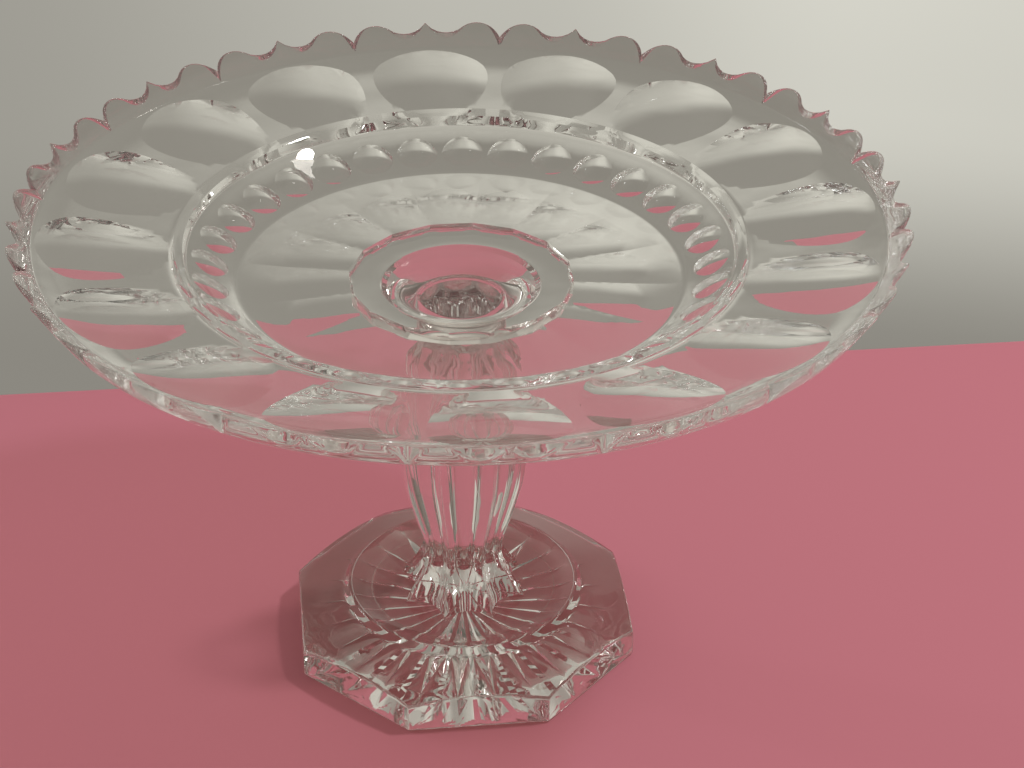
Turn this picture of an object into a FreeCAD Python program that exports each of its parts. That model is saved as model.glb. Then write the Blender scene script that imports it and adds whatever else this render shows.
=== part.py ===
import FreeCAD, Part
import math
import os

V = FreeCAD.Vector
Z_AXIS = V(0, 0, 1)

# Pressed-glass pedestal cake stand. Millimetres, +Z up, origin at the centre
# of the foot's underside, the foot's flats facing X and Y.

# Counts of the pressed pattern
PANELS = 16                 # scalloped panels round the rim
STEM_SIDES = 8              # flutes of the stem and sides of the foot
STAR_RAYS = 24

# Overall sizes
RIM_RADIUS = 140.0          # to the tips of the rim
RIM_HEIGHT = 165.0          # table to the tips of the rim
FOOT_CORNER_RADIUS = 60.5   # centre to a corner of the octagon

# Plate: radii
FLOOR_RADIUS = 69.0         # where the floor turns up into the well's wall
WELL_RADIUS = 85.75         # inner edge of the ring round the well
RING_WIDTH = 3.75           # the ring stands up over this width
HUB_APOTHEM = 35.3          # flats of the hub under the floor
NECK_RADIUS = 13.0          # hub where it meets the wafer
HEEL_OUTSET = 1.5           # underside: foot of the flare, outside the ring
TOE_OUTSET = 2.5            # underside: end of the level part, outside the floor
WALL_SAG = 1.4              # the well's wall is this much fuller underneath

# Plate: heights below the rim tips, and thickness
RING_DROP = 10.8            # top of the ring
WELL_DROP = 15.5            # inner foot of the ring
FLOOR_EDGE_DROP = 23.2      # floor at its outer edge
FLOOR_DROP = 25.5           # floor at the centre
FLOOR_THICKNESS = 5.0       # at the centre
LIP_THICKNESS = 6.6         # glass over the lower edge of the rim
LIP_INSET = 5.7             # the lower edge stands in from the tips, and is a plain circle
LAND_HEIGHT = 1.2           # upright edge at the tips, before the rim slopes in
FLARE_THICKNESS = 7.4       # flare, measured upright
EDGE_RISE = 3.4             # the flare rises this much across the scallops

# Rim outline of half a panel: depth below the tips
NOTCH_DEPTH = 5.6
DIP_DEPTH = 3.7

# Pressed hollows under the plate: half width across, half length along the radius, depth
OVAL = (22.6, 62.0, 2.45)   # large thumbprints, cut short by the slope of the flare
OVAL_OUTSET = 24.5          # their deepest place, outside the ring
OVAL_RISE = 1.95            # and above the heel
OVAL_LEAN = 10.0            # degrees
BEAD = (6.0, 7.0, 1.35)     # small thumbprints
PETAL = (15.6, 25.7, 1.02)  # flutes round the hub, deepest at the hub

# Wafer
WAFER_THICKNESS = 3.6
WAFER_BULGE = 1.1           # how far its rounded edge stands out

# Stem: (share of the height, ridge radius, flute depth)
STEM_SECTIONS = (
    (0.00, 21.8, 5.96), (0.04, 20.3, 5.64), (0.09, 16.8, 4.48), (0.165, 13.9, 3.26),
    (0.24, 14.6, 3.21), (0.34, 17.4, 3.62), (0.50, 21.3, 4.32), (0.66, 22.2, 4.49),
    (0.775, 21.2, 4.21), (0.845, 18.0, 3.27), (0.915, 14.6, 2.31), (1.00, 13.2, 0.0),
)

# Foot
FOOT_EDGE_HEIGHT = 9.7      # upright face at a corner
FOOT_FLAT_RISE = 2.6        # how much higher that face is at mid side
CREST_RADIUS = 38.8         # outer, higher edge of the ring
CREST_HEIGHT = 20.2
STEP_WIDTH = 2.1            # the ring's outer side, down to the slope
STEP_DROP = 2.8
SEAT_RADIUS = 30.6          # inner, lower edge of the ring
SEAT_HEIGHT = 17.0          # where the stem stands
STAR_INNER = 1.6
STAR_WIDEST = 26.0
STAR_MARGIN = 6.9           # from its tips to the flats
STAR_DEPTH = 2.6

# Levels and radii that follow from the sizes above
RING_RADIUS = WELL_RADIUS + RING_WIDTH
PANEL_ANGLE = 2 * math.pi / PANELS
FLOOR_Z = RIM_HEIGHT - FLOOR_DROP
UNDER_Z = FLOOR_Z - FLOOR_THICKNESS
FLOOR_EDGE_Z = RIM_HEIGHT - FLOOR_EDGE_DROP
WELL_Z = RIM_HEIGHT - WELL_DROP
RING_Z = RIM_HEIGHT - RING_DROP
HUB_FLAT_Z = UNDER_Z - 5.6
NECK_Z = UNDER_Z - 17.6
STEM_TOP = NECK_Z - WAFER_THICKNESS
STEM_HEIGHT = STEM_TOP - SEAT_HEIGHT
FOOT_APOTHEM = FOOT_CORNER_RADIUS * math.cos(math.pi / STEM_SIDES)
STAR_TIP = FOOT_APOTHEM - STAR_MARGIN
HEEL = V(RING_RADIUS + HEEL_OUTSET, 0, RING_Z - FLARE_THICKNESS)
TOE = V(FLOOR_RADIUS + TOE_OUTSET, 0, UNDER_Z)


def polar(radius, angle, z=0.0):
    return V(radius * math.cos(angle), radius * math.sin(angle), z)


def line(a, b):
    return Part.makeLine(a, b)


def arc(a, b, c):
    return Part.Arc(a, b, c).toShape()


def curve(points):
    spline = Part.BSplineCurve()
    spline.interpolate(points)
    return spline.toShape()


def turn(edges):
    """Solid turned about Z from a closed outline in the XZ plane."""
    face = Part.Face(Part.Wire(Part.__sortEdges__(edges)))
    return face.revolve(V(0, 0, 0), Z_AXIS, 360)


def polygon_prism(sides, apothem, z0, z1):
    corner = apothem / math.cos(math.pi / sides)
    half = math.pi / sides
    ring = [polar(corner, half + 2 * half * i, z0) for i in range(sides)]
    return Part.Face(Part.makePolygon(ring + ring[:1])).extrude(V(0, 0, z1 - z0))


# ---------------------------------------------------------------- plate

def wall_underside():
    """Middle of the line from heel to toe, pushed down by the sag."""
    return V(0.5 * (HEEL.x + TOE.x), 0, 0.5 * (HEEL.z + TOE.z) - WALL_SAG)


def plate_profile():
    """Half section of the plate without its hub, a little past the tips."""
    notch = RIM_RADIUS - NOTCH_DEPTH
    edge_slope = EDGE_RISE / NOTCH_DEPTH
    lip = V(RIM_RADIUS - LIP_INSET, 0, RIM_HEIGHT - LIP_INSET * edge_slope - LIP_THICKNESS)
    face_slope = (RIM_HEIGHT - LAND_HEIGHT - lip.z) / LIP_INSET
    past = LAND_HEIGHT / (face_slope - edge_slope)
    span = notch - RING_RADIUS
    flare = [
        V(RING_RADIUS, 0, RING_Z),
        V(RING_RADIUS + 0.42 * span, 0, RING_Z + 1.5),
        V(RING_RADIUS + 0.78 * span, 0, RING_Z + 4.1),
        V(notch, 0, RIM_HEIGHT - EDGE_RISE),
        V(RIM_RADIUS, 0, RIM_HEIGHT),
        V(RIM_RADIUS + past, 0, RIM_HEIGHT + past * edge_slope),
    ]
    under = [V(p.x, 0, p.z - FLARE_THICKNESS) for p in flare[1:3]]
    rise_well = V(0.5 * (FLOOR_RADIUS + WELL_RADIUS) + 1.2, 0, 0.5 * (FLOOR_EDGE_Z + WELL_Z) - 1.25)
    return [
        line(V(0, 0, UNDER_Z), V(0, 0, FLOOR_Z)),
        line(V(0, 0, FLOOR_Z), V(HUB_APOTHEM, 0, FLOOR_Z)),
        line(V(HUB_APOTHEM, 0, FLOOR_Z), V(FLOOR_RADIUS, 0, FLOOR_EDGE_Z)),
        arc(V(FLOOR_RADIUS, 0, FLOOR_EDGE_Z), rise_well, V(WELL_RADIUS, 0, WELL_Z)),
        arc(V(WELL_RADIUS, 0, WELL_Z), V(WELL_RADIUS + 1.0, 0, RING_Z - 1.5), flare[0]),
        curve(flare),
        line(flare[-1], lip),
        curve([HEEL] + under + [lip]),
        arc(HEEL, wall_underside(), TOE),
        line(TOE, V(0, 0, UNDER_Z)),
    ]


def rim_outline(z0, height):
    """Scalloped outline: notch, round lobe, dip, pointed tip, and back."""
    lobe_end = (0.275, NOTCH_DEPTH * 0.43)
    half = [(0.0, NOTCH_DEPTH), (0.16, 0.0), lobe_end, (0.36, DIP_DEPTH), (0.5, 0.0)]
    edges = []
    for i in range(PANELS):
        start = (i - 0.5) * PANEL_ANGLE
        for side in (1, -1):
            base = start if side == 1 else start + PANEL_ANGLE
            p = [polar(RIM_RADIUS - d, base + side * s * PANEL_ANGLE, z0) for s, d in half]
            edges += [arc(p[0], p[1], p[2]), arc(p[2], p[3], p[4])]
    wire = Part.Wire(Part.__sortEdges__(edges))
    return Part.Face(wire).extrude(V(0, 0, height))


def hollow(size, x, z, lean, inward, outward):
    """Barrel that presses a hollow, rounder across than along the radius.

    It leans back by lean degrees, and reaches inward and outward of x.
    """
    across, along, depth = size
    round_across = (across ** 2 + depth ** 2) / (2 * depth)
    round_along = (along ** 2 + depth ** 2) / (2 * depth)
    reach = 1.3 * across
    side = round_along - round_across + math.sqrt(round_across ** 2 - reach ** 2)
    a, b = V(0, -reach, side), V(0, reach, side)
    outline = [line(V(0, -reach, 0), a), arc(a, V(0, 0, round_along), b),
               line(b, V(0, reach, 0)), line(V(0, reach, 0), V(0, -reach, 0))]
    face = Part.Face(Part.Wire(outline))
    back = math.degrees(math.asin(inward / round_along))
    forth = math.degrees(math.asin(outward / round_along))
    y_axis = V(0, 1, 0)
    face.rotate(V(0, 0, 0), y_axis, -back)
    tool = face.revolve(V(0, 0, 0), y_axis, back + forth)
    tool.rotate(V(0, 0, 0), y_axis, -lean)
    turn_lean = math.radians(lean)
    tool.translate(V(x + (round_along - depth) * math.sin(turn_lean), 0,
                     z - (round_along - depth) * math.cos(turn_lean)))
    return tool


def around(shape, angles):
    copies = []
    for angle in angles:
        copy = shape.copy()
        copy.rotate(V(0, 0, 0), Z_AXIS, math.degrees(angle))
        copies.append(copy)
    return copies


def plate_hub():
    """Sixteen-sided disc under the floor, then a stepped cone down to the neck."""
    disc = polygon_prism(PANELS, HUB_APOTHEM, HUB_FLAT_Z, UNDER_Z + 1.5)
    drop = HUB_FLAT_Z - NECK_Z
    r1, r2 = NECK_RADIUS + 12.2, NECK_RADIUS + 5.5
    profile = [V(0, 0, HUB_FLAT_Z + 1), V(r1, 0, HUB_FLAT_Z + 1), V(r1, 0, HUB_FLAT_Z - 1.2),
               V(r2 + 0.6, 0, HUB_FLAT_Z - 0.42 * drop), V(r2, 0, HUB_FLAT_Z - 0.55 * drop),
               V(NECK_RADIUS + 0.8, 0, NECK_Z + 1.6), V(NECK_RADIUS, 0, NECK_Z), V(0, 0, NECK_Z)]
    cone = turn([line(a, b) for a, b in zip(profile, profile[1:] + profile[:1])])
    return disc.fuse(cone)


def make_plate():
    body = turn(plate_profile())
    panel_angles = [i * PANEL_ANGLE for i in range(PANELS)]
    bead_angles = [(i + 0.5) * PANEL_ANGLE / 2 for i in range(2 * PANELS)]
    petal = hollow(PETAL, HUB_APOTHEM, UNDER_Z, 0, 0, 1.2 * PETAL[1])
    slope = math.degrees(math.atan2(HEEL.z - TOE.z, HEEL.x - TOE.x))
    wall = wall_underside()
    bead = hollow(BEAD, wall.x - 0.6, wall.z + WALL_SAG - 0.9, slope, 1.3 * BEAD[1], 1.3 * BEAD[1])
    oval = hollow(OVAL, RING_RADIUS + OVAL_OUTSET, HEEL.z + OVAL_RISE, OVAL_LEAN,
                  OVAL_OUTSET - HEEL_OUTSET, RIM_RADIUS - RING_RADIUS)
    body = body.cut(around(petal, panel_angles))
    body = body.cut(around(bead, bead_angles))
    body = body.cut(around(oval, panel_angles))
    body = body.common(rim_outline(UNDER_Z - 5, RIM_HEIGHT - UNDER_Z + 20))
    return body.fuse(plate_hub()).removeSplitter()


# ------------------------------------------------- wafer, stem and foot

def make_wafer():
    z0, z1 = STEM_TOP, NECK_Z
    r0, r1 = STEM_SECTIONS[-1][1], NECK_RADIUS
    edge = V(max(r0, r1) + WAFER_BULGE, 0, 0.5 * (z0 + z1))
    return turn([
        line(V(0, 0, z0), V(r0, 0, z0)),
        arc(V(r0, 0, z0), edge, V(r1, 0, z1)),
        line(V(r1, 0, z1), V(0, 0, z1)),
        line(V(0, 0, z1), V(0, 0, z0)),
    ])


def stem_section(z, ridge, depth):
    """Eight ridges joined by hollow arcs, a ridge on each corner of the foot."""
    step = 2 * math.pi / STEM_SIDES
    valley = ridge - depth
    edges = []
    for i in range(STEM_SIDES):
        a = (i - 0.5) * step
        edges.append(arc(polar(ridge, a, z), polar(valley, a + step / 2, z), polar(ridge, a + step, z)))
    return Part.Wire(edges)


def make_stem():
    wires = [stem_section(SEAT_HEIGHT + t * STEM_HEIGHT, r, d) for t, r, d in STEM_SECTIONS]
    return Part.makeLoft(wires, True, False)


def star_ray():
    """V groove shaped like a long kite, deepest at its widest place."""
    half = 0.9 * math.pi / STAR_RAYS
    below = -0.4
    tips = [V(STAR_INNER, 0, below), V(STAR_WIDEST, -STAR_WIDEST * half, below),
            V(STAR_TIP, 0, below), V(STAR_WIDEST, STAR_WIDEST * half, below)]
    top = V(STAR_WIDEST, 0, STAR_DEPTH)
    faces = [Part.Face(Part.makePolygon(tips + tips[:1]))]
    for a, b in zip(tips, tips[1:] + tips[:1]):
        faces.append(Part.Face(Part.makePolygon([a, b, top, a])))
    return Part.makeSolid(Part.makeShell(faces))


def make_foot():
    edge_slope = FOOT_FLAT_RISE / (FOOT_CORNER_RADIUS - FOOT_APOTHEM)
    over = FOOT_CORNER_RADIUS + 3.0
    crest = V(CREST_RADIUS, 0, CREST_HEIGHT)
    shoulder = [V(CREST_RADIUS + STEP_WIDTH, 0, CREST_HEIGHT - STEP_DROP),
                V(FOOT_APOTHEM, 0, FOOT_EDGE_HEIGHT + FOOT_FLAT_RISE),
                V(over, 0, FOOT_EDGE_HEIGHT - 3.0 * edge_slope)]
    band = V(SEAT_RADIUS + 3.4, 0, SEAT_HEIGHT + 0.9)
    body = turn([
        line(V(0, 0, 0), V(0, 0, SEAT_HEIGHT)),
        line(V(0, 0, SEAT_HEIGHT), V(SEAT_RADIUS, 0, SEAT_HEIGHT)),
        arc(V(SEAT_RADIUS, 0, SEAT_HEIGHT), band, crest),
        line(crest, shoulder[0]),
        curve(shoulder),
        line(shoulder[-1], V(over, 0, 0)),
        line(V(over, 0, 0), V(0, 0, 0)),
    ])
    body = body.common(polygon_prism(STEM_SIDES, FOOT_APOTHEM, -1, CREST_HEIGHT + 5))
    step = 2 * math.pi / STAR_RAYS
    first = math.pi / STEM_SIDES
    return body.cut(around(star_ray(), [first + i * step for i in range(STAR_RAYS)]))


def main():
    os.makedirs("parts", exist_ok=True)
    nodes = {"plate": make_plate(), "wafer": make_wafer(), "stem": make_stem(), "foot": make_foot()}
    for name, shape in nodes.items():
        solid = shape.Solids[0] if len(shape.Solids) == 1 else shape
        solid.exportStep("parts/" + name + ".step")
        box = solid.BoundBox
        print(name, "valid", solid.isValid(), "solids", len(shape.Solids), "volume %.0f" % solid.Volume,
              "z %.2f to %.2f" % (box.ZMin, box.ZMax), "x %.2f" % box.XLength)


main()
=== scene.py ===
import bpy
import math
from mathutils import Matrix, Vector
from mathutils.geometry import interpolate_bezier


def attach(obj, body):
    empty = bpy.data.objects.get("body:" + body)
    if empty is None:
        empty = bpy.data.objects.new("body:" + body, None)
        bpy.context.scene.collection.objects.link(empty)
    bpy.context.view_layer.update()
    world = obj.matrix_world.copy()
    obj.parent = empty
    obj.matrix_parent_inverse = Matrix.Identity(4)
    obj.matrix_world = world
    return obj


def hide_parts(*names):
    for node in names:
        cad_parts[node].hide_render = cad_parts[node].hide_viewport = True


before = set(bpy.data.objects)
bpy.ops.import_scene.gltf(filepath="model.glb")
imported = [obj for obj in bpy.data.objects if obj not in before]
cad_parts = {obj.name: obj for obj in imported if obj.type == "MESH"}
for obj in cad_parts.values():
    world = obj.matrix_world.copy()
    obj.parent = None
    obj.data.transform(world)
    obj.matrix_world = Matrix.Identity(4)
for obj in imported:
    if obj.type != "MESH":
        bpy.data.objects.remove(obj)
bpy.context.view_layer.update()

mm = 0.001
print("frame loaded:", ", ".join(sorted(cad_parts)))


# ---- small helpers used by every piece

def deselectAll():
    if bpy.context.object and bpy.context.object.mode != "OBJECT":
        bpy.ops.object.mode_set(mode="OBJECT")
    bpy.ops.object.select_all(action="DESELECT")


def makeActive(piece):
    deselectAll()
    piece.select_set(True)
    bpy.context.view_layer.objects.active = piece


def choose(piece, kind, test):
    # picks vertices, edges or faces by place, and leaves the piece in edit mode
    makeActive(piece)
    mesh = piece.data
    for group in (mesh.vertices, mesh.edges, mesh.polygons):
        group.foreach_set("select", [False] * len(group))
    chosen = {"VERT": mesh.vertices, "EDGE": mesh.edges, "FACE": mesh.polygons}[kind]
    for item in chosen:
        item.select = test(item)
    bpy.ops.object.mode_set(mode="EDIT")
    bpy.ops.mesh.select_mode(type=kind)


def edgeMiddle(mesh, edge):
    a, b = (mesh.vertices[i].co for i in edge.vertices)
    return (a + b) / 2


def softRun(points, steps):
    # a smooth line through the points, leaving out the first of them
    line = []
    knots = [Vector((x, 0, z)) for x, z in points]
    count = len(knots)
    pull = [(knots[min(i + 1, count - 1)] - knots[max(i - 1, 0)]) / 2 for i in range(count)]
    for i in range(count - 1):
        handleA = knots[i] + pull[i] / 3
        handleB = knots[i + 1] - pull[i + 1] / 3
        span = interpolate_bezier(knots[i], handleA, handleB, knots[i + 1], steps + 1)
        line += [(p.x, p.z) for p in span[1:]]
    return line


def rounded(before, corner, after, size, steps=5):
    # a corner eased off over size on both of its sides
    c = Vector((corner[0], 0, corner[1]))
    a = c + (Vector((before[0], 0, before[1])) - c).normalized() * size
    b = c + (Vector((after[0], 0, after[1])) - c).normalized() * size
    arc = interpolate_bezier(a, a.lerp(c, 0.62), b.lerp(c, 0.62), b, steps + 1)
    return [(p.x, p.z) for p in arc]


def turnOutline(name, outline, steps, angle=2 * math.pi):
    # a closed outline from axis to axis, in millimetres, spun round Z
    deselectAll()
    bpy.ops.mesh.primitive_circle_add(vertices=len(outline), radius=0.1, fill_type="NOTHING")
    piece = bpy.context.object
    piece.name = piece.data.name = name
    for vertex, (x, z) in zip(piece.data.vertices, outline):
        vertex.co = (x * mm, 0, z * mm)
    bpy.ops.object.mode_set(mode="EDIT")
    bpy.ops.mesh.select_all(action="SELECT")
    bpy.ops.mesh.spin(steps=steps, angle=-angle, center=(0, 0, 0), axis=(0, 0, 1))
    bpy.ops.mesh.select_all(action="SELECT")
    bpy.ops.mesh.remove_doubles(threshold=0.000002)
    if angle > 6:
        bpy.ops.mesh.delete_loose()
    bpy.ops.mesh.select_all(action="SELECT")
    bpy.ops.mesh.normals_make_consistent(inside=False)
    bpy.ops.object.mode_set(mode="OBJECT")
    return piece


def closeWedge(wedge, angle):
    # one flat face on each cut side of the wedge
    for side in (0, angle):
        across = Vector((-math.sin(side), math.cos(side), 0))
        mesh = wedge.data
        choose(wedge, "EDGE", lambda e: all(abs(mesh.vertices[i].co.dot(across)) < 1e-7 for i in e.vertices))
        bpy.ops.mesh.edge_face_add()
        bpy.ops.object.mode_set(mode="OBJECT")
    choose(wedge, "FACE", lambda f: True)
    bpy.ops.mesh.normals_make_consistent(inside=False)
    bpy.ops.object.mode_set(mode="OBJECT")


def openWedge(wedge, angle):
    # takes the two cut sides away again
    def onSide(face):
        for side in (0, angle):
            across = Vector((-math.sin(side), math.cos(side), 0))
            if all(abs(wedge.data.vertices[i].co.dot(across)) < 1e-6 for i in face.vertices):
                return True
        return False
    choose(wedge, "FACE", onSide)
    bpy.ops.mesh.delete(type="FACE")
    bpy.ops.object.mode_set(mode="OBJECT")


def press(body, cutter, operation="DIFFERENCE"):
    makeActive(body)
    modifier = body.modifiers.new("press", "BOOLEAN")
    modifier.operation = operation
    modifier.solver = "EXACT"
    modifier.object = cutter
    bpy.ops.object.modifier_apply(modifier=modifier.name)
    bpy.data.objects.remove(cutter)


def mirrorAndRepeat(wedge, count):
    # mirrors the half panel and sets copies of it all round the axis
    makeActive(wedge)
    modifier = wedge.modifiers.new("mirror", "MIRROR")
    modifier.use_axis = (False, True, False)
    modifier.use_mirror_merge = False
    bpy.ops.object.modifier_apply(modifier=modifier.name)
    copies = []
    for i in range(1, count):
        copy = wedge.copy()
        copy.data = wedge.data.copy()
        copy.data.transform(Matrix.Rotation(2 * math.pi * i / count, 4, "Z"))
        bpy.context.collection.objects.link(copy)
        copies.append(copy)
    makeActive(wedge)
    for copy in copies:
        copy.select_set(True)
    bpy.ops.object.join()
    bpy.ops.object.mode_set(mode="EDIT")
    bpy.ops.mesh.select_all(action="SELECT")
    bpy.ops.mesh.remove_doubles(threshold=0.000006)
    bpy.ops.mesh.delete_loose()
    bpy.ops.mesh.select_all(action="SELECT")
    bpy.ops.mesh.normals_make_consistent(inside=False)
    bpy.ops.object.mode_set(mode="OBJECT")


def creaseSharp(piece, degrees, stays=lambda middle: True):
    # smooth faces all over, with a crease where the glass really turns
    makeActive(piece)
    bpy.ops.object.shade_smooth()
    bpy.ops.object.mode_set(mode="EDIT")
    bpy.ops.mesh.select_mode(type="EDGE")
    bpy.ops.mesh.select_all(action="DESELECT")
    bpy.ops.mesh.edges_select_sharp(sharpness=math.radians(degrees))
    bpy.ops.object.mode_set(mode="OBJECT")
    mesh = piece.data
    picked = [e.index for e in mesh.edges if e.select and stays(edgeMiddle(mesh, e))]
    wanted = set(picked)
    choose(piece, "EDGE", lambda e: e.index in wanted)
    bpy.ops.mesh.mark_sharp()
    bpy.ops.object.mode_set(mode="OBJECT")


def finishPiece(piece, glass, slot, *nodes):
    # outer glass, and clear joints where two pressings are fused
    joints = [face.index for face in piece.data.polygons if face.material_index == 1]
    piece.data.materials.clear()
    piece.data.materials.append(glass)
    piece.data.materials.append(jointGlass)
    flags = [0] * len(piece.data.polygons)
    for i in joints:
        flags[i] = 1
    piece.data.polygons.foreach_set("material_index", flags)
    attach(piece, "root")
    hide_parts(*nodes)
    print(piece.name, "made:", len(piece.data.polygons), "faces")


def markJoint(piece, test):
    for face in piece.data.polygons:
        if test(face):
            face.material_index = 1


# ---- plate

plateSizes = {
    "panels": 16, "columns": 18, "tipRadius": 140.0, "tipHeight": 165.0,
    "notchDepth": 5.6, "dipDepth": 3.7, "land": 1.2, "lip": (134.3, 154.94),
    "floor": 139.5, "floorEdge": (69.0, 141.8), "wellEdge": (85.75, 149.5), "ringTop": (89.5, 154.2),
    "under": 134.5,
    "hubFlat": 35.3, "hubUnder": 128.9, "neck": (13.0, 116.9), "flareThick": 7.4,
    "heel": (91.0, 146.8), "toe": (71.5, 134.5),
    # hollows: half width across, half length along, depth
    "petal": (15.6, 25.7, 1.02), "bead": (6.0, 7.0, 1.35),
    "oval": (22.6, 62.0, 2.45), "ovalAt": (114.0, 148.75), "ovalSlope": 10.0,
}


def plateTop(s):
    # floor, well wall, raised ring and flare, from the axis to the tip
    tip = (s["tipRadius"], s["tipHeight"])
    x0, z0 = s["ringTop"]
    notchX = s["tipRadius"] - s["notchDepth"]
    span = notchX - x0
    flare = softRun([s["ringTop"], (x0 + 0.42 * span, z0 + 1.5), (x0 + 0.78 * span, z0 + 4.1),
                     (notchX, tip[1] - 3.4), tip], 5)
    wall = softRun([(56.0, 140.55), s["floorEdge"], (78.6, 144.4), s["wellEdge"]], 6)
    ring = softRun([s["wellEdge"], (86.9, 152.6), s["ringTop"]], 4)
    start = [(0.0, s["floor"])] + rounded((0, s["floor"]), (s["hubFlat"], s["floor"]), (56.0, 140.55), 6, 4)
    return start + [(56.0, 140.55)] + wall + ring + flare


def faceRadius(s, z):
    # the rim's outer face slopes in from the tips to the lower edge
    x, lowZ = s["lip"]
    slope = (s["tipRadius"] - x) / (s["tipHeight"] - s["land"] - lowZ)
    return min(x + (z - lowZ) * slope, s["tipRadius"])


def plateOutline(s):
    top = plateTop(s)
    tip, lip = top[-1], s["lip"]
    heel, toe = s["heel"], s["toe"]
    x0, z0 = s["ringTop"]
    span = tip[0] - s["notchDepth"] - x0
    z0 -= s["flareThick"]
    below = softRun([heel, (x0 + 0.42 * span, z0 + 1.5), (x0 + 0.78 * span, z0 + 4.1), lip], 5)[:-1]
    heights = [tip[1] - 0.9 + (lip[1] - tip[1] + 1.8) * i / 10 for i in range(1, 10)]
    face = [(faceRadius(s, z), z) for z in heights]
    sag = ((heel[0] + toe[0]) / 2, (heel[1] + toe[1]) / 2 - 1.4)
    wall = softRun([heel, sag, toe], 4)[:-1]
    toeRound = rounded(wall[-1], toe, (60, s["under"]), 1.2, 3)
    hubX, hubZ = s["hubFlat"], s["hubUnder"]
    neckX, neckZ = s["neck"]
    outline = top[:-1]
    outline += rounded(top[-2], tip, (tip[0], lip[1]), 0.8, 5) + face
    outline += rounded(face[-1], lip, below[-1], 0.9, 4)
    outline += below[::-1]
    outline += rounded(below[0], heel, wall[0], 1.5, 3) + wall + toeRound
    outline += [(hubX + 0.3, s["under"]), (hubX, s["under"] - 0.3)]
    outline += rounded((hubX, s["under"]), (hubX, hubZ), (25.2, hubZ), 1.2, 4)
    outline += rounded((hubX, hubZ), (25.2, hubZ), (24.6, 127.0), 0.5, 2)
    outline += softRun([(24.6, 127.0), (21.2, 125.4), (18.9, 123.6)], 3)
    outline += softRun([(18.9, 123.6), (16.2, 121.0), (14.2, 118.9), (13.3, 117.6)], 3)
    outline += [(neckX, neckZ), (0.0, neckZ)]
    return outline


def circleThrough(a, b, c):
    ax, ay, bx, by, cx, cy = *a, *b, *c
    d = 2 * (ax * (by - cy) + bx * (cy - ay) + cx * (ay - by))
    ux = ((ax**2 + ay**2) * (by - cy) + (bx**2 + by**2) * (cy - ay) + (cx**2 + cy**2) * (ay - by)) / d
    uy = ((ax**2 + ay**2) * (cx - bx) + (bx**2 + by**2) * (ax - cx) + (cx**2 + cy**2) * (bx - ax)) / d
    return ux, uy, math.hypot(ax - ux, ay - uy)


def scallopDepth(s, away):
    # how far the outline stands in from the tips, away = distance from the notch
    pitch = 2 * math.pi * s["tipRadius"] / s["panels"]
    notch, lobe = (0.0, s["notchDepth"]), (0.16 * pitch, 0.0)
    lobeEnd, dip = (0.275 * pitch, s["notchDepth"] * 0.43), (0.36 * pitch, s["dipDepth"])
    tip = (0.5 * pitch, 0.0)
    if away <= lobeEnd[0]:
        cx, cy, r = circleThrough(notch, lobe, lobeEnd)
        return cy - math.sqrt(max(r * r - (away - cx) ** 2, 0))
    cx, cy, r = circleThrough(lobeEnd, dip, tip)
    return cy + math.sqrt(max(r * r - (away - cx) ** 2, 0))


def shapeRim(wedge, s):
    # draws the edge in to its scallops, which run out where the face slopes in below them
    flare = plateTop(s)[-20:]

    def topAt(radius):
        for (x0, z0), (x1, z1) in zip(flare, flare[1:]):
            if radius <= x1:
                return z0 + (z1 - z0) * (radius - x0) / (x1 - x0)
        return flare[-1][1]

    half = math.pi / s["panels"]
    start, tip, high = 128.0, s["tipRadius"], s["tipHeight"]
    low = s["lip"][1]
    for vertex in wedge.data.vertices:
        radius = math.hypot(vertex.co.x, vertex.co.y) / mm
        if radius < 0.01:
            continue
        share = 1 - math.atan2(vertex.co.y, vertex.co.x) / half
        share = min(max(share, 0.0), 1.0) ** 1.4
        angle = half * (1 - share)
        z = vertex.co.z / mm
        depth = scallopDepth(s, share * half * tip)
        inside = faceRadius(s, z) - radius
        if radius > start and z > topAt(radius) - 0.25:
            pulled = radius - depth * (radius - start) / (tip - start)
            z += topAt(pulled) - topAt(radius)
            radius = pulled
        elif inside < 0.6 and z > low - 0.05:
            edge = topAt(tip - depth)
            z = low + (z - low) * (edge - low) / (high - low)
            face, scallop = faceRadius(s, z), tip - depth
            radius = 0.5 * (face + scallop - math.hypot(face - scallop, 0.3)) - inside
        elif abs(radius - s["hubFlat"]) < 0.6 and z < s["under"] + 0.1:
            radius /= math.cos(angle)
        vertex.co = (radius * math.cos(angle) * mm, radius * math.sin(angle) * mm, z * mm)


def lens(across, along, depth, place, slope, turn=0.0, steps=72, start=0.0):
    # the domed end of the tool that presses a hollow: half its width across and along the
    # radius, and where its inner side is cut off
    half = across
    radius, height = place
    ball = (half**2 + depth**2) / (2 * depth)
    reach = 1.3 * math.asin(half / ball)
    rings = 10
    outline = [(0.0, ball)]
    outline += [(ball * math.sin(reach * i / rings), ball * math.cos(reach * i / rings)) for i in range(1, rings + 1)]
    outline += [(0.0, ball * math.cos(reach))]
    tool = turnOutline("tool", outline, steps)
    lean = math.radians(slope)
    out = ball - depth
    centre = Vector((radius + out * math.sin(lean), 0, height - out * math.cos(lean))) * mm
    stretch = Matrix.Diagonal((along / across, 1, 1, 1))
    tool.data.transform(Matrix.Translation(centre) @ Matrix.Rotation(-lean, 4, "Y") @ stretch)
    if start:
        choose(tool, "FACE", lambda face: True)
        bpy.ops.mesh.bisect(plane_co=(start * mm, 0, 0), plane_no=(1, 0, 0), use_fill=True, clear_inner=True)
        bpy.ops.object.mode_set(mode="OBJECT")
    tool.data.transform(Matrix.Rotation(turn, 4, "Z"))
    return tool


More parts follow.
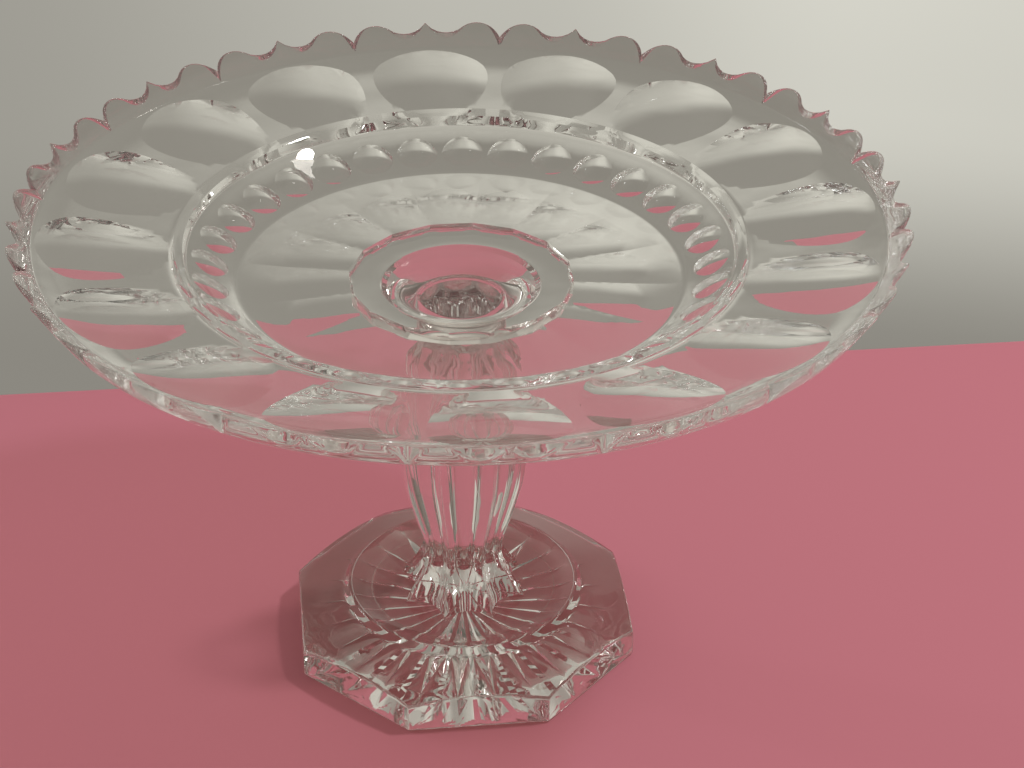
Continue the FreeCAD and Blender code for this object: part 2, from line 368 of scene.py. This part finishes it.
def makePlate(s):
    half = math.pi / s["panels"]
    wedge = turnOutline("plateGlass", plateOutline(s), s["columns"], half)
    shapeRim(wedge, s)
    closeWedge(wedge, half)
    petal, oval, bead = s["petal"], s["oval"], s["bead"]
    press(wedge, lens(*petal, (s["hubFlat"], s["under"]), 0.0, steps=96, start=s["hubFlat"]))
    press(wedge, lens(*oval, s["ovalAt"], s["ovalSlope"], steps=96, start=s["heel"][0] + 0.5))
    (heelX, heelZ), (toeX, toeZ) = s["heel"], s["toe"]
    slope = math.degrees(math.atan2(heelZ - toeZ, heelX - toeX))
    middle = ((heelX + toeX) / 2 - 0.6, (heelZ + toeZ) / 2 - 0.9)
    press(wedge, lens(*bead, middle, slope, turn=half / 2, steps=48))
    openWedge(wedge, half)
    print("half panel:", len(wedge.data.polygons), "faces")
    mirrorAndRepeat(wedge, s["panels"])
    creaseSharp(wedge, 12, lambda middle: math.hypot(middle.x, middle.y) < 0.1335)
    markJoint(wedge, lambda face: face.center.z < (s["neck"][1] + 0.05) * mm)
    return wedge


plateGlassPiece = makePlate(plateSizes)


# ---- wafer

waferSizes = {"top": (13.0, 116.9), "bottom": (13.2, 113.3), "bulge": 14.3}


def makeWafer(s):
    x0, z0 = s["bottom"]
    x1, z1 = s["top"]
    edge = softRun([s["bottom"], (s["bulge"] - 0.25, z0 + 0.6), (s["bulge"], (z0 + z1) / 2),
                    (s["bulge"] - 0.3, z1 - 0.6), s["top"]], 4)
    return turnOutline("waferGlass", [(0.0, z0), (x0, z0)] + edge + [(0.0, z1)], 128)


waferGlassPiece = makeWafer(waferSizes)
creaseSharp(waferGlassPiece, 40)
markJoint(waferGlassPiece, lambda face: abs(face.normal.z) > 0.99)


# ---- stem

stemSizes = {
    "sides": 8, "columns": 16, "bottom": 17.0, "top": 113.3,
    # share of the height, radius of the ridges, depth of the flutes below them
    "sections": [(0.00, 21.8, 5.96), (0.04, 20.3, 5.64), (0.09, 16.8, 4.48), (0.165, 13.9, 3.26),
                 (0.24, 14.6, 3.21), (0.34, 17.4, 3.62), (0.50, 21.3, 4.32), (0.66, 22.2, 4.49),
                 (0.775, 21.2, 4.21), (0.845, 18.0, 3.27), (0.915, 14.6, 2.31), (1.00, 13.2, 0.0)],
}


def fluteIn(ridge, depth, share):
    # radius of a hollow flute, share 0 on a ridge and 1 in its middle; also how far round it is
    half = math.pi / 8
    chord, flat = ridge * math.sin(half), ridge * math.cos(half)
    sag = flat - (ridge - depth)
    u = 1 - share
    if abs(depth) < 1e-6:
        return ridge, half * share
    x, y = flat - sag * (1 - u * u), chord * u
    return math.hypot(x, y), half - math.atan2(y, x)


def makeStem(s):
    height = s["top"] - s["bottom"]
    ridges = [(r, s["bottom"] + t * height) for t, r, d in s["sections"]]
    depths = [(d, s["bottom"] + t * height) for t, r, d in s["sections"]]
    ridgeLine = [ridges[0]] + softRun(ridges, 6)
    depthLine = [depths[0]] + softRun(depths, 6)
    outline = [(0.0, s["bottom"])] + ridgeLine + [(0.0, s["top"])]
    stem = turnOutline("stemGlass", outline, s["sides"] * s["columns"])
    half = math.pi / s["sides"]
    for vertex in stem.data.vertices:
        radius = math.hypot(vertex.co.x, vertex.co.y) / mm
        if radius < 0.01:
            continue
        z = vertex.co.z / mm
        row = min(range(len(ridgeLine)), key=lambda i: abs(ridgeLine[i][1] - z) + abs(ridgeLine[i][0] - radius))
        angle = math.atan2(vertex.co.y, vertex.co.x)
        sector = round((angle - half) / (2 * half))
        offset = angle - half - sector * 2 * half  # from the nearest ridge
        radius, turned = fluteIn(ridgeLine[row][0], depthLine[row][0], abs(offset) / half)
        angle = half + sector * 2 * half + math.copysign(turned, offset)
        vertex.co = (radius * math.cos(angle) * mm, radius * math.sin(angle) * mm, z * mm)
    return stem


stemGlassPiece = makeStem(stemSizes)
creaseSharp(stemGlassPiece, 24)
markJoint(stemGlassPiece, lambda face: abs(face.normal.z) > 0.99 and
          (face.center.z < 0.0171 or face.center.z > 0.1132))


# ---- foot

footSizes = {
    "sides": 8, "columns": 24, "cornerRadius": 60.5, "edgeHeight": 9.7, "flatRise": 2.6,
    "crest": (38.8, 20.2), "step": (40.9, 17.4), "seat": (30.6, 17.0), "rays": 24,
    "starInner": 1.6, "starWidest": 26.0, "starTip": 49.0, "starDepth": 2.6,
}


def footTop(s):
    flat = s["cornerRadius"] * math.cos(math.pi / s["sides"])
    corner = (s["cornerRadius"], s["edgeHeight"])
    (stepX, stepZ), flatZ = s["step"], s["edgeHeight"] + s["flatRise"]
    late = (stepX + 0.8 * (flat - stepX), stepZ + 0.8 * (flatZ - stepZ))
    return softRun([s["step"], late, (flat, flatZ), corner], 4)


def footOutline(s):
    slope = footTop(s)
    seat = s["seat"]
    band = softRun([seat, (seat[0] + 3.4, seat[1] + 0.9), s["crest"]], 5)
    corner = slope[-1]
    base = (corner[0], 0.0)
    outline = [(0.0, 0.0), (0.0, seat[1]), (21.8, seat[1])]
    outline += rounded((21.8, seat[1]), seat, band[0], 0.8, 3) + band[:-1]
    outline += rounded(band[-2], s["crest"], s["step"], 0.9, 5)
    outline += rounded(s["crest"], s["step"], slope[0], 0.9, 4) + slope[:-1]
    outline += rounded(slope[-2], corner, base, 0.9, 5)
    outline += rounded(corner, base, (0.0, 0.0), 0.8, 4)
    return outline


def shapeFoot(wedge, s):
    # pulls the round edge in to the straight sides, and the seat to the stem's outline
    start = s["step"][0] + 1.0
    flat = s["cornerRadius"] * math.cos(math.pi / s["sides"])
    slope = [s["step"]] + footTop(s)

    def topAt(radius):
        for (x0, z0), (x1, z1) in zip(slope, slope[1:]):
            if radius <= x1:
                return z0 + (z1 - z0) * (radius - x0) / (x1 - x0)
        return slope[-1][1]

    half = math.pi / s["sides"]
    tallest = s["edgeHeight"]
    for vertex in wedge.data.vertices:
        radius = math.hypot(vertex.co.x, vertex.co.y) / mm
        if radius < 0.01:
            continue
        z = vertex.co.z / mm
        share = min(max(math.atan2(vertex.co.y, vertex.co.x) / half, 0.0), 1.0)
        angle = half * (1 - (1 - share) ** 1.35)
        if radius > start + 1e-4:
            part = (radius - start) / (s["cornerRadius"] - start)
            target = start + part * (flat / math.cos(angle) - start)
            if z > tallest * 0.5:
                z += topAt(target) - topAt(radius)
            radius = target
        elif abs(radius - 21.8) < 0.01 and z > 10:
            radius, turned = fluteIn(21.8, 5.96, 1 - share)
            angle = half - turned
        vertex.co = (radius * math.cos(angle) * mm, radius * math.sin(angle) * mm, z * mm)


def starTool(s, turn):
    # a long kite with one ridge, for a ray of the star
    halfAngle = 0.9 * math.pi / s["rays"]
    deselectAll()
    bpy.ops.mesh.primitive_cone_add(vertices=4, radius1=1, radius2=0, depth=1)
    tool = bpy.context.object
    low, widest = -0.4, s["starWidest"]
    corners = [(s["starTip"], 0), (widest, widest * halfAngle), (s["starInner"], 0), (widest, -widest * halfAngle)]
    base = sorted((v for v in tool.data.vertices if v.co.z < 0), key=lambda v: math.atan2(v.co.y, v.co.x) % (2 * math.pi))
    for vertex, (x, y) in zip(base, corners):
        vertex.co = (x * mm, y * mm, low * mm)
    apex = max(tool.data.vertices, key=lambda v: v.co.z)
    apex.co = (widest * mm, 0, s["starDepth"] * mm)
    tool.data.transform(Matrix.Rotation(turn, 4, "Z"))
    return tool


def makeFoot(s):
    half = math.pi / s["sides"]
    wedge = turnOutline("footGlass", footOutline(s), s["columns"], half)
    shapeFoot(wedge, s)
    closeWedge(wedge, half)
    for turn in (7.5, 22.5):
        press(wedge, starTool(s, math.radians(turn)))
    openWedge(wedge, half)
    mirrorAndRepeat(wedge, s["sides"])
    creaseSharp(wedge, 20, lambda middle: math.hypot(middle.x, middle.y) < 0.053)
    seatTop = s["seat"][1] * mm
    markJoint(wedge, lambda face: abs(face.center.z - seatTop) < 1e-5
              and math.hypot(face.center.x, face.center.y) < 0.0135)
    return wedge


footGlassPiece = makeFoot(footSizes)


# ---- materials

def newMaterial(name):
    material = bpy.data.materials.new(name)
    material.use_nodes = True
    tree = material.node_tree
    tree.nodes.clear()
    return material, tree.nodes, tree.links


def clearGlass(name, tint, shade, wave, bumpSize):
    # pressed glass: faint straw tint, slight ripples left by the mould; light reaches what is behind in the shade
    # colour, a painted shadow strength
    material, nodes, links = newMaterial(name)
    out = nodes.new("ShaderNodeOutputMaterial")
    shader = nodes.new("ShaderNodeBsdfPrincipled")
    shader.inputs["Transmission Weight"].default_value = 1.0
    shader.inputs["IOR"].default_value = 1.51
    coords = nodes.new("ShaderNodeTexCoord")
    ripples = nodes.new("ShaderNodeTexNoise")
    ripples.inputs["Scale"].default_value = wave
    ripples.inputs["Detail"].default_value = 1.5
    links.new(coords.outputs["Object"], ripples.inputs["Vector"])
    bump = nodes.new("ShaderNodeBump")
    bump.inputs["Strength"].default_value = 0.5
    bump.inputs["Distance"].default_value = bumpSize
    links.new(ripples.outputs["Fac"], bump.inputs["Height"])
    links.new(bump.outputs["Normal"], shader.inputs["Normal"])
    ramp = nodes.new("ShaderNodeValToRGB")
    ramp.color_ramp.elements[0].color = (*tint, 1)
    ramp.color_ramp.elements[1].color = (*[min(c + 0.02, 1.0) for c in tint], 1)
    links.new(ripples.outputs["Fac"], ramp.inputs["Fac"])
    links.new(ramp.outputs["Color"], shader.inputs["Base Color"])
    smudge = nodes.new("ShaderNodeTexNoise")
    smudge.inputs["Scale"].default_value = 38.0
    smudge.inputs["Detail"].default_value = 5.0
    links.new(coords.outputs["Object"], smudge.inputs["Vector"])
    level = nodes.new("ShaderNodeMapRange")
    level.inputs["From Min"].default_value = 0.45
    level.inputs["From Max"].default_value = 0.8
    level.inputs["To Min"].default_value = 0.0
    level.inputs["To Max"].default_value = 0.05
    links.new(smudge.outputs["Fac"], level.inputs["Value"])
    links.new(level.outputs["Result"], shader.inputs["Roughness"])
    # shadow and diffuse rays pass straight through in the shade colour: painted shadow, darker than the glass's own
    # tint, standing in for light the glass bends away
    through = nodes.new("ShaderNodeBsdfTransparent")
    through.inputs["Color"].default_value = (*shade, 1)
    path = nodes.new("ShaderNodeLightPath")
    straight = nodes.new("ShaderNodeMath")
    straight.operation = "MAXIMUM"
    links.new(path.outputs["Is Shadow Ray"], straight.inputs[0])
    links.new(path.outputs["Is Diffuse Ray"], straight.inputs[1])
    mix = nodes.new("ShaderNodeMixShader")
    links.new(straight.outputs["Value"], mix.inputs["Fac"])
    links.new(shader.outputs["BSDF"], mix.inputs[1])
    links.new(through.outputs["BSDF"], mix.inputs[2])
    links.new(mix.outputs["Shader"], out.inputs["Surface"])
    return material


def fusedJoint():
    material, nodes, links = newMaterial("fusedJoint")
    out = nodes.new("ShaderNodeOutputMaterial")
    through = nodes.new("ShaderNodeBsdfTransparent")
    links.new(through.outputs["BSDF"], out.inputs["Surface"])
    return material


jointGlass = fusedJoint()
# last colour of each glass: painted shadow strength cast on the cloth, darkest under the foot
plateGlass = clearGlass("plateGlassMaterial", (0.94, 0.926, 0.90), (0.90, 0.88, 0.85), 55.0, 0.00016)
stemGlass = clearGlass("stemGlassMaterial", (0.93, 0.915, 0.885), (0.72, 0.69, 0.66), 90.0, 0.00018)
footGlass = clearGlass("footGlassMaterial", (0.93, 0.915, 0.885), (0.66, 0.62, 0.58), 70.0, 0.00018)

finishPiece(plateGlassPiece, plateGlass, "plate_glass", "plate")
finishPiece(waferGlassPiece, stemGlass, "stem_glass", "wafer")
finishPiece(stemGlassPiece, stemGlass, "stem_glass", "stem")
finishPiece(footGlassPiece, footGlass, "foot_glass", "foot")


# ---- table, room, lights and camera

tableSizes = {
    # the foot stands on its cloth with a hair of air under it, as glass does
    "back": 0.168, "front": -2.2, "left": -2.2, "right": 2.2, "air": 0.0004, "colour": (0.66, 0.215, 0.28),
}


def makeTable(s):
    deselectAll()
    bpy.ops.mesh.primitive_plane_add(size=1, location=(0, 0, -s["air"]))
    table = bpy.context.object
    table.name = "table"
    for vertex in table.data.vertices:
        vertex.co.x = s["right"] if vertex.co.x > 0 else s["left"]
        vertex.co.y = s["back"] if vertex.co.y > 0 else s["front"]
    material, nodes, links = newMaterial("paleCloth")
    out = nodes.new("ShaderNodeOutputMaterial")
    shader = nodes.new("ShaderNodeBsdfPrincipled")
    shader.inputs["Base Color"].default_value = (*s["colour"], 1)
    shader.inputs["Roughness"].default_value = 0.9
    links.new(shader.outputs["BSDF"], out.inputs["Surface"])
    table.data.materials.append(material)
    return table


roomSizes = {
    # brightness by the way looked: (part of the way from -1 to 1, level)
    "sideways": [(0.0, 0.95), (0.24, 0.85), (0.38, 0.18), (0.44, 0.22), (0.55, 0.62), (0.62, 1.0), (0.66, 0.95),
                 (0.72, 0.25), (1.0, 0.05)],
    "height": [(0.0, 0.0), (0.245, 0.0), (0.29, 0.9), (0.32, 1.0), (1.0, 0.8)],
    "depth": [(0.0, 0.24), (0.3, 0.2), (0.65, 1.0), (1.0, 1.0)],
    "least": 0.34, "dark": (0.05, 0.036, 0.026), "light": (0.67, 0.66, 0.59),
}


def makeRoom(s):
    # a wall lit from the upper right, a window side on the left, dim brown behind the viewer
    world = bpy.data.worlds.new("room")
    bpy.context.scene.world = world
    world.use_nodes = True
    nodes, links = world.node_tree.nodes, world.node_tree.links
    coords = nodes.new("ShaderNodeTexCoord")
    split = nodes.new("ShaderNodeSeparateXYZ")
    links.new(coords.outputs["Generated"], split.inputs[0])

    def levelAlong(axis, stops):
        part = nodes.new("ShaderNodeMapRange")
        part.inputs["From Min"].default_value = -1.0
        links.new(split.outputs[axis], part.inputs["Value"])
        ramp = nodes.new("ShaderNodeValToRGB")
        ramp.color_ramp.interpolation = "EASE"
        points = ramp.color_ramp.elements
        while len(points) < len(stops):
            points.new(0.5)
        for point, (place, level) in zip(points, stops):
            point.position = place
            point.color = (level, level, level, 1)
        links.new(part.outputs["Result"], ramp.inputs["Fac"])
        return ramp.outputs["Color"]

    def times(a, b):
        product = nodes.new("ShaderNodeMath")
        product.operation = "MULTIPLY"
        links.new(a, product.inputs[0])
        links.new(b, product.inputs[1])
        return product.outputs["Value"]

    lit = times(levelAlong("X", s["sideways"]), levelAlong("Z", s["height"]))
    raised = nodes.new("ShaderNodeMapRange")
    raised.inputs["To Min"].default_value = s["least"]
    links.new(lit, raised.inputs["Value"])
    blend = nodes.new("ShaderNodeMix")
    blend.data_type = "RGBA"
    blend.inputs["A"].default_value = (*s["dark"], 1)
    blend.inputs["B"].default_value = (*s["light"], 1)
    links.new(times(raised.outputs["Result"], levelAlong("Y", s["depth"])), blend.inputs["Factor"])
    links.new(blend.outputs["Result"], nodes["Background"].inputs["Color"])


def addSoftbox(name, place, aim, width, height, power, colour):
    lamp = bpy.data.lights.new(name, "AREA")
    lamp.shape = "RECTANGLE"
    lamp.size, lamp.size_y = width, height
    lamp.energy = power
    lamp.color = colour
    box = bpy.data.objects.new(name, lamp)
    box.location = place
    box.rotation_euler = (Vector(aim) - Vector(place)).to_track_quat("-Z", "Y").to_euler()
    bpy.context.scene.collection.objects.link(box)


makeTable(tableSizes)
makeRoom(roomSizes)
addSoftbox("window", (-1.7, 0.9, 0.95), (0, 0, 0.1), 0.1, 0.8, 3, (0.95, 0.98, 1.0))
addSoftbox("ceilingLight", (1.3, 0.15, 2.0), (0, 0, 0.0), 0.22, 0.22, 27, (1.0, 0.97, 0.93))

cameraSizes = {
    "azimuth": -6.5, "elevation": 31.74, "distance": 0.7808, "aim": (0.01629, -0.00186, 0.0977),
    "lens": 84.2, "roll": 0.38,
}


def makeCamera(s):
    azimuth, elevation = math.radians(s["azimuth"]), math.radians(s["elevation"])
    back = Vector((math.sin(azimuth) * math.cos(elevation), -math.cos(azimuth) * math.cos(elevation),
                   math.sin(elevation)))
    camera = bpy.data.objects.new("camera", bpy.data.cameras.new("camera"))
    camera.data.lens = s["lens"]
    camera.data.sensor_width = 36
    camera.location = Vector(s["aim"]) + back * s["distance"]
    turn = (-back).to_track_quat("-Z", "Y")
    camera.rotation_euler = (turn @ Matrix.Rotation(math.radians(s["roll"]), 4, "Z").to_quaternion()).to_euler()
    bpy.context.scene.collection.objects.link(camera)
    bpy.context.scene.camera = camera


makeCamera(cameraSizes)
print("table, lights and camera set")

bpy.context.scene.view_settings.view_transform = "Standard"
bpy.context.scene.cycles.max_bounces = 24  # light goes round many times inside thick glass
bpy.context.scene.cycles.transmission_bounces = 24
bpy.context.scene.cycles.glossy_bounces = 24
